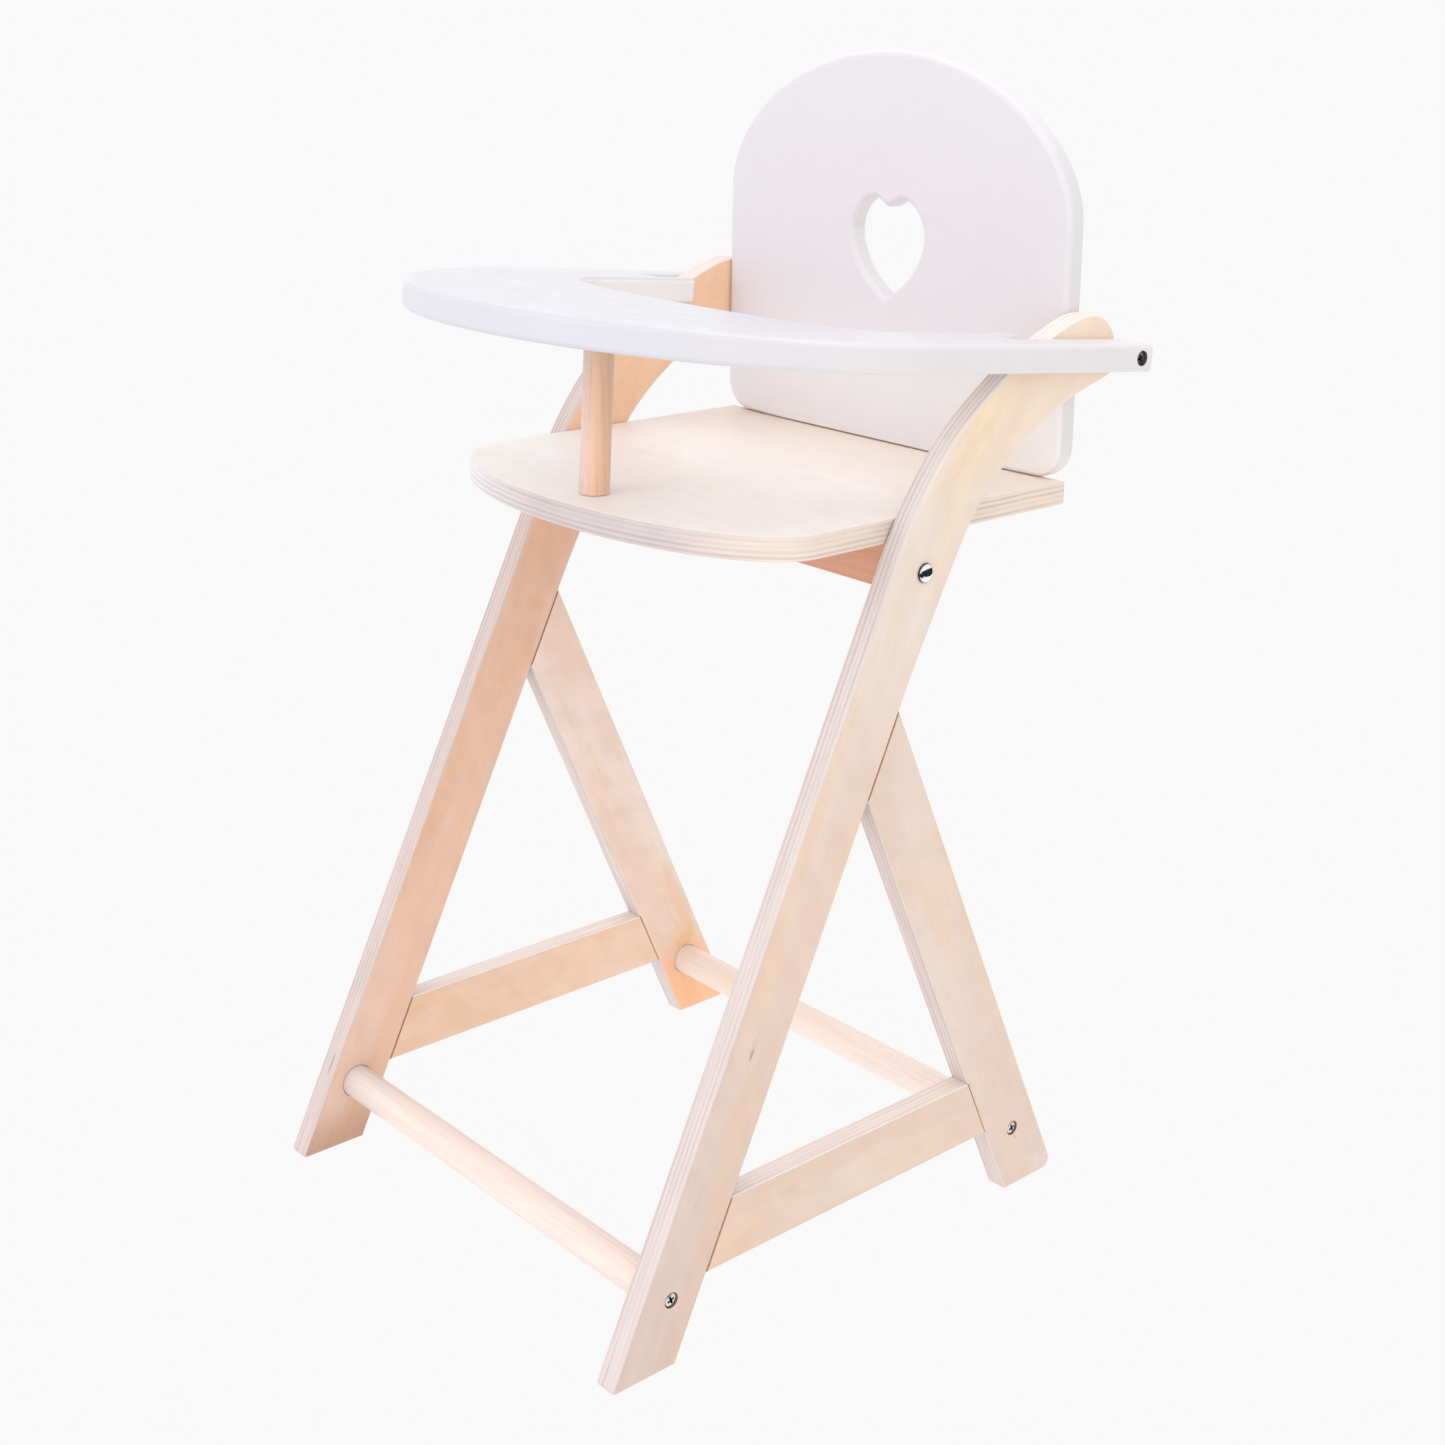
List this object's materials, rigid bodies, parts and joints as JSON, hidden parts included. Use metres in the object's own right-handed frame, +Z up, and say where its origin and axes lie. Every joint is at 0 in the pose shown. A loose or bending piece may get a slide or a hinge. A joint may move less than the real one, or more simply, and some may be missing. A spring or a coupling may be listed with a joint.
{
  "type": "doll high chair",
  "caption": "Wooden high chair for a doll, with plywood side frames, a rounded seat, a backrest with a heart cut-out and a lift-up tray.",
  "frame": {"origin": "floor level, under the middle of the bounding box", "axes": "+Z up, -Y the way the sitter faces (the tray side), +X the sitter's left"},
  "size_m": [0.317, 0.3122, 0.5745],
  "materials": {
    "frame_plywood": "birch plywood, clear matt lacquer, layered edges",
    "seat_plywood": "birch plywood, clear matt lacquer, layered edges",
    "beech_round": "turned beech, clear matt lacquer",
    "beech_rail": "planed beech, clear matt lacquer",
    "backrest_white": "white lacquered board",
    "tray_white": "white lacquered board, rounded edges",
    "wooden_pins": "plain wooden pins, not visible",
    "nickel_screw": "nickel-plated crosshead screws",
    "polished_bolt": "polished domed bolt heads",
    "zinc_nut": "zinc-plated barrel nuts, not visible"
  },
  "bodies": {
    "chair": {"front_leg_left": "frame_plywood", "rear_leg_left": "frame_plywood", "side_rail_left": "frame_plywood", "leg_pin_lower_left": "wooden_pins", "leg_pin_upper_left": "wooden_pins", "rail_front_pin_left": "wooden_pins", "rail_rear_pin_left": "wooden_pins", "front_dowel_screw_left": "nickel_screw", "rear_dowel_screw_left": "nickel_screw", "seat_rail_bolt_left": "polished_bolt", "seat_rail_nut_left": "zinc_nut", "seat_screw_left": "nickel_screw", "backrest_pin_lower_left": "wooden_pins", "backrest_pin_upper_left": "wooden_pins", "tray_pivot_screw_left": "nickel_screw", "front_leg_right": "frame_plywood", "rear_leg_right": "frame_plywood", "side_rail_right": "frame_plywood", "leg_pin_lower_right": "wooden_pins", "leg_pin_upper_right": "wooden_pins", "rail_front_pin_right": "wooden_pins", "rail_rear_pin_right": "wooden_pins", "front_dowel_screw_right": "nickel_screw", "rear_dowel_screw_right": "nickel_screw", "seat_rail_bolt_right": "polished_bolt", "seat_rail_nut_right": "zinc_nut", "seat_screw_right": "nickel_screw", "backrest_pin_lower_right": "wooden_pins", "backrest_pin_upper_right": "wooden_pins", "tray_pivot_screw_right": "nickel_screw", "front_dowel": "beech_round", "rear_dowel": "beech_round", "seat_rail": "beech_rail", "seat": "seat_plywood", "backrest": "backrest_white"},
    "tray": {"tray": "tray_white", "tray_post": "beech_round"}
  },
  "joints": [
    {"name": "tray_hinge", "type": "hinge", "parent": "chair", "child": "tray", "pos_m": [0, 0.14833, 0.43446], "axis": [-1, 0, 0], "range_deg": [0, 57]}
  ]
}
